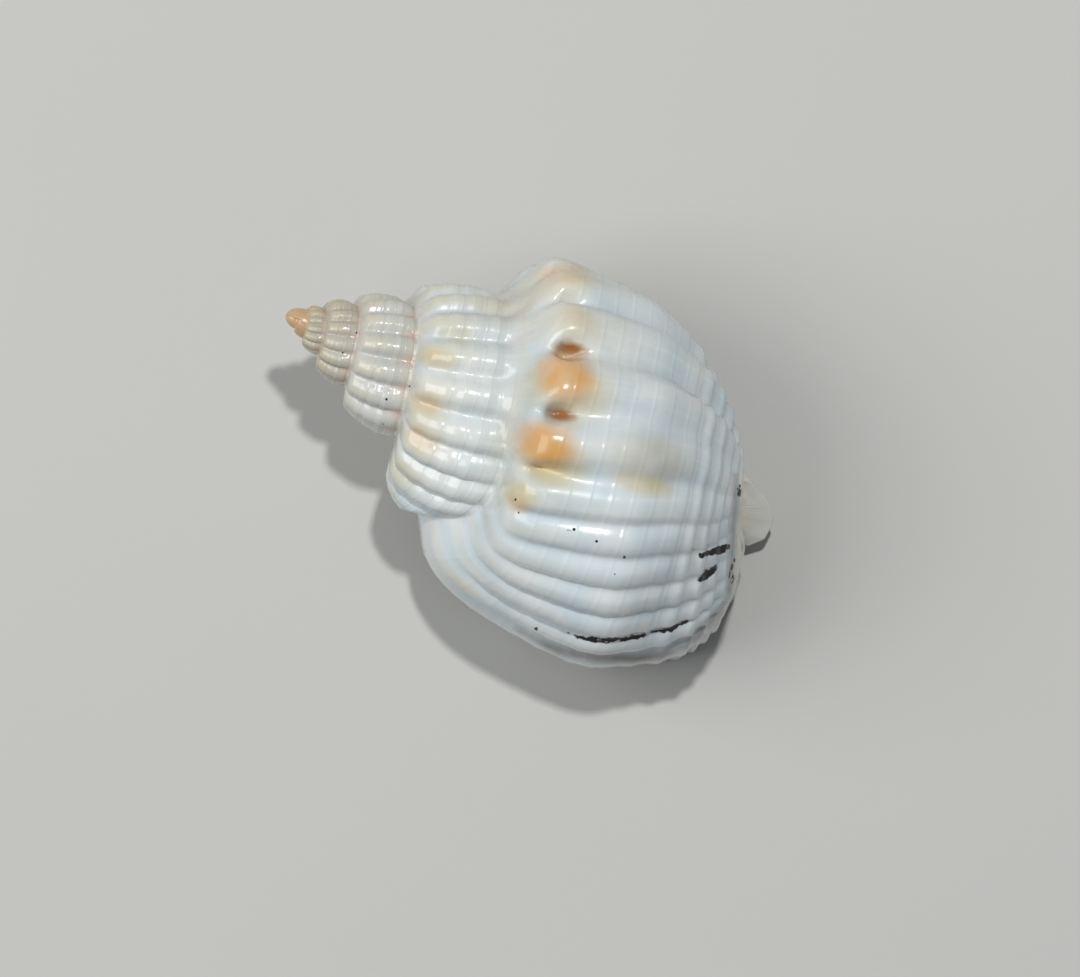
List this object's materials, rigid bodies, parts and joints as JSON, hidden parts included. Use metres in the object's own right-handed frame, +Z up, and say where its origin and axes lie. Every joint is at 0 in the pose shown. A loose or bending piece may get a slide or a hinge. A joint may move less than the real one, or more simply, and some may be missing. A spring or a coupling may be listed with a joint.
{
  "type": "cake nassa shell",
  "caption": "Small ribbed sea snail shell with a stepped pointed spire, a swollen last whorl, a wide mouth and a notched siphonal end, lying mouth down.",
  "frame": {"origin": "on the surface the shell lies on, under the middle of its outline", "axes": "+X from the apex to the siphonal end, +Z up through the ribbed back, the outer lip on the -Y side"},
  "size_m": [0.027, 0.0188, 0.0161],
  "materials": {
    "shell": "natural shell glaze: glossy bluish white with cream ribs and orange knobs"
  },
  "bodies": {
    "root": {"shell": "shell"}
  },
  "joints": []
}
